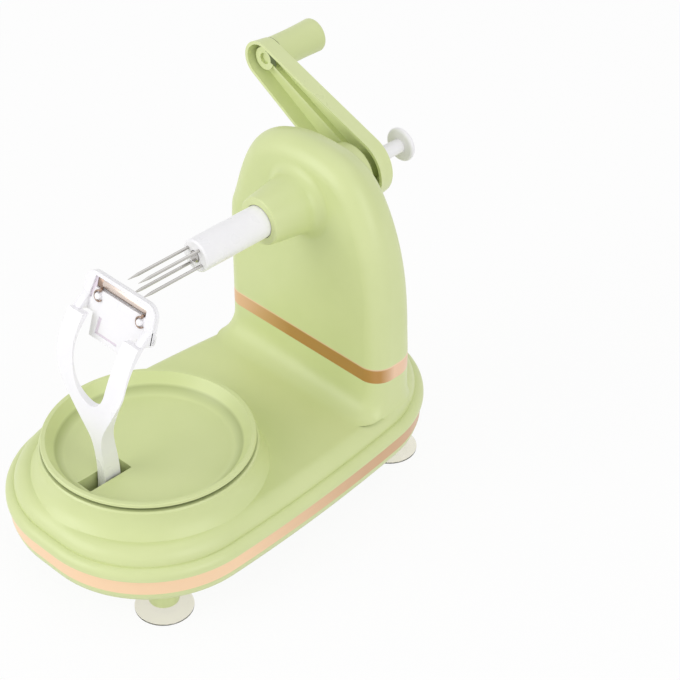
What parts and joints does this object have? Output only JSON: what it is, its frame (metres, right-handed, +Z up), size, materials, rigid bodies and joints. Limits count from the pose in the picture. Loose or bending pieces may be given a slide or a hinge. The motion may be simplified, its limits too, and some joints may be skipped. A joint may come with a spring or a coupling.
{
  "type": "apple peeler",
  "caption": "Hand-cranked apple peeler: crank tower with fork and push-out rod, geared turntable with a sprung yoke and swivelling blade, suction-cup base.",
  "frame": {"origin": "middle of the footprint of the whole machine (crank and grip included), on the table under the suction cups", "axes": "+Z up; +Y from the turntable towards the tower and crank; +X across, towards the side away from the crank grip at rest"},
  "size_m": [0.1486, 0.2496, 0.196],
  "materials": {
    "green": "satin, soft sage green, moulded",
    "green_lower": "satin, soft sage green, moulded",
    "copper_trim": "satin, warm copper coloured coating",
    "white": "satin warm white, moulded",
    "crank_plastic": "satin, soft sage green, moulded",
    "blade_steel": "ground stainless steel",
    "steel": "drawn stainless steel",
    "cup": "clear soft plastic",
    "gear": "natural acetal",
    "frame": "dark moulded plastic",
    "bush": "dark acetal"
  },
  "bodies": {
    "base": {"base_tray": "green_lower", "base_band": "copper_trim", "base_housing": "green", "tower_band": "copper_trim", "tower_cover": "green", "front_bush": "bush", "rear_bush": "bush", "gear_frame": "frame", "upright_bush_low": "bush", "upright_bush_high": "bush", "idler_pin_a": "steel", "idler_pin_b": "steel", "tray_screws": "steel", "frame_screws": "steel", "cover_screws": "steel", "suction_cup_front_left": "cup", "suction_cup_front_right": "cup", "suction_cup_rear_left": "cup", "suction_cup_rear_right": "cup"},
    "crank": {"spindle": "steel", "drive_bevel": "gear", "fork_sleeve": "white", "fork_prong_1": "steel", "fork_prong_2": "steel", "fork_prong_3": "steel", "fork_prong_4": "steel", "crank_arm": "crank_plastic", "hub_clip": "steel", "grip_pin": "steel", "ejector_spring": "steel"},
    "grip": {"crank_grip": "crank_plastic"},
    "ejector": {"push_rod": "white", "push_cap": "white", "ejector_tip": "steel"},
    "upright": {"upright_shaft": "steel", "upright_pinion": "gear", "driven_bevel": "gear"},
    "idler_a": {"idler_gear_a": "gear"},
    "idler_b": {"idler_gear_b": "gear"},
    "turntable": {"turntable_disc": "green", "table_gear": "gear", "table_washer": "steel", "table_screw": "steel", "arm_pin": "steel", "arm_spring": "steel"},
    "yoke": {"peeler_arm": "white", "blade_carrier": "white", "blade_stud_left": "steel", "blade_stud_right": "steel"},
    "blade": {"peeler_blade": "blade_steel"}
  },
  "joints": [
    {"name": "crank_spin", "type": "hinge", "parent": "base", "child": "crank", "pos_m": [0.00524, 0.06335, 0.1523], "axis": [0, 1, 0], "continuous": true},
    {"name": "grip_spin", "type": "hinge", "parent": "crank", "child": "grip", "pos_m": [-0.06375, 0.10935, 0.18536], "axis": [0, 1, 0], "continuous": true},
    {"name": "ejector_slide", "type": "slide", "parent": "crank", "child": "ejector", "axis": [0, -1, 0], "range_m": [0, 0.012], "stiffness_N_per_m": 150, "springref_m": -0.004, "deforming": ["ejector_spring"]},
    {"name": "upright_spin", "type": "hinge", "parent": "base", "child": "upright", "pos_m": [0.00524, 0.05935, 0.08], "axis": [0, 0, 1], "continuous": true},
    {"name": "idler_a_spin", "type": "hinge", "parent": "base", "child": "idler_a", "pos_m": [0.00062, 0.02819, 0.032], "axis": [0, 0, 1], "continuous": true},
    {"name": "idler_b_spin", "type": "hinge", "parent": "base", "child": "idler_b", "pos_m": [-0.00227, -0.00317, 0.026], "axis": [0, 0, 1], "continuous": true},
    {"name": "turntable_spin", "type": "hinge", "parent": "base", "child": "turntable", "pos_m": [0.00524, -0.05665, 0.04], "axis": [0, 0, 1], "continuous": true},
    {"name": "arm_tilt", "type": "hinge", "parent": "turntable", "child": "yoke", "pos_m": [0.00524, -0.08315, 0.044], "axis": [1, 0, 0], "range_deg": [0, 25], "stiffness_Nm_per_rad": 0.12, "springref_deg": -20.05},
    {"name": "blade_swivel", "type": "hinge", "parent": "yoke", "child": "blade", "pos_m": [0.00524, -0.06749, 0.14928], "axis": [1, 0, 0], "range_deg": [-12, 1]}
  ],
  "couplings": [
    {"joint": "upright_spin", "follows": "crank_spin", "ratio": 1},
    {"joint": "idler_a_spin", "follows": "crank_spin", "ratio": -0.4},
    {"joint": "idler_b_spin", "follows": "crank_spin", "ratio": 0.2},
    {"joint": "turntable_spin", "follows": "crank_spin", "ratio": -0.04}
  ]
}
